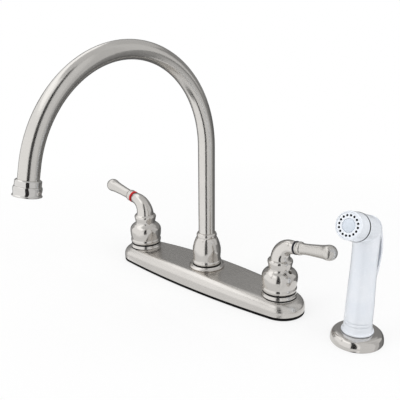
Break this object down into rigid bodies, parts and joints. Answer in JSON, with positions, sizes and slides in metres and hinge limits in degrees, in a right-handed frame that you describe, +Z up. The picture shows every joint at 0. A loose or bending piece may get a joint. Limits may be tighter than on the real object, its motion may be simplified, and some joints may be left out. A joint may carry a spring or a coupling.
{
  "type": "kitchen faucet with side spray",
  "caption": "Deck kitchen tap: high arched swivel spout and lever handles on a long cover plate, with a hand spray standing in its own holder beside it.",
  "frame": {"origin": "centre of the deck gasket's underside, where the spout's swivel axis meets the sink's deck", "axes": "+X to the user's right, from the hot valve to the cold valve and the hand spray; -Y to the front, where the spout points; +Z up, square to the deck"},
  "size_m": [0.3889, 0.2654, 0.3311],
  "materials": {
    "satin_nickel": "satin",
    "polished_nickel": "polished",
    "black_rubber": "matte",
    "brass": "as cast and machined",
    "plated_steel": "zinc plated",
    "black_plastic": "matte",
    "inner_plastic": "natural",
    "ceramic": "ground",
    "white_plastic": "gloss",
    "seam_plastic": "matte",
    "button_plastic": "gloss",
    "hot_red": "gloss",
    "cold_blue": "gloss"
  },
  "bodies": {
    "base": {"deck_gasket": "black_rubber", "cover_plate": "satin_nickel", "waterway": "brass", "hot_supply_shank": "brass", "cold_supply_shank": "brass", "mounting_washers": "plated_steel", "mounting_nuts": "brass", "hose_nipple": "brass", "hot_base_ring": "satin_nickel", "cold_base_ring": "satin_nickel", "handle_glide_rings": "black_plastic", "bonnet_nuts": "brass", "cartridge_bodies": "inner_plastic", "seat_seals": "black_rubber", "fixed_discs": "ceramic", "spout_flange": "satin_nickel", "spout_lock_ring": "brass", "spout_glide_ring": "black_plastic", "spout_retaining_nut": "brass", "diverter_body": "inner_plastic", "spray_flange": "satin_nickel", "spray_guide": "black_plastic", "guide_washer": "plated_steel", "guide_nut": "black_plastic"},
    "hot_lever": {"hot_handle": "satin_nickel", "hot_index_ring": "hot_red", "hot_lever_grip": "satin_nickel", "hot_set_screw": "plated_steel", "hot_stem": "brass", "hot_moving_disc": "ceramic"},
    "cold_lever": {"cold_handle": "satin_nickel", "cold_index_ring": "cold_blue", "cold_lever_grip": "satin_nickel", "cold_set_screw": "plated_steel", "cold_stem": "brass", "cold_moving_disc": "ceramic"},
    "spout": {"spout_tube": "satin_nickel", "spout_hub": "satin_nickel", "spout_tail": "brass", "spout_orings": "black_rubber", "aerator_collar": "polished_nickel", "aerator_housing": "polished_nickel", "aerator_washer": "black_rubber", "aerator_insert": "inner_plastic", "aerator_screen": "plated_steel"},
    "diverter": {"diverter_piston": "inner_plastic"},
    "hand_spray": {"spray_handle": "white_plastic", "nozzle_cup": "white_plastic", "seam_ring": "seam_plastic", "spray_face": "white_plastic", "face_button": "button_plastic", "trigger_pin": "plated_steel", "valve_seal": "black_rubber", "valve_spring": "plated_steel", "hose_coupling": "brass", "coupling_washer": "black_rubber"},
    "trigger": {"spray_trigger": "white_plastic"},
    "plunger": {"spray_plunger": "inner_plastic"}
  },
  "joints": [
    {"name": "hot_handle_turn", "type": "hinge", "parent": "base", "child": "hot_lever", "pos_m": [-0.1016, 0, 0.04], "axis": [0, 0, 1], "range_deg": [0, 90]},
    {"name": "cold_handle_turn", "type": "hinge", "parent": "base", "child": "cold_lever", "pos_m": [0.1016, 0, 0.04], "axis": [0, 0, 1], "range_deg": [-90, 0]},
    {"name": "spout_swivel", "type": "hinge", "parent": "base", "child": "spout", "pos_m": [0, 0, 0.06], "axis": [0, 0, 1], "continuous": true},
    {"name": "diverter_rise", "type": "slide", "parent": "base", "child": "diverter", "axis": [0, 0, 1], "range_m": [0, 0.0025]},
    {"name": "spray_lift", "type": "slide", "parent": "base", "child": "hand_spray", "axis": [0, 0, 1], "range_m": [0, 0.06]},
    {"name": "spray_trigger_press", "type": "hinge", "parent": "hand_spray", "child": "trigger", "pos_m": [0.1938, 0.00906, 0.11971], "axis": [-1, 0, 0], "range_deg": [0, 4], "stiffness_Nm_per_rad": 0.4, "springref_deg": -17.19},
    {"name": "spray_plunger_slide", "type": "slide", "parent": "hand_spray", "child": "plunger", "axis": [0, -0.999, 0.0436], "range_m": [0, 0.00135]}
  ],
  "couplings": [
    {"joint": "spray_plunger_slide", "follows": "spray_trigger_press", "m_per_rad": 0.0184}
  ]
}
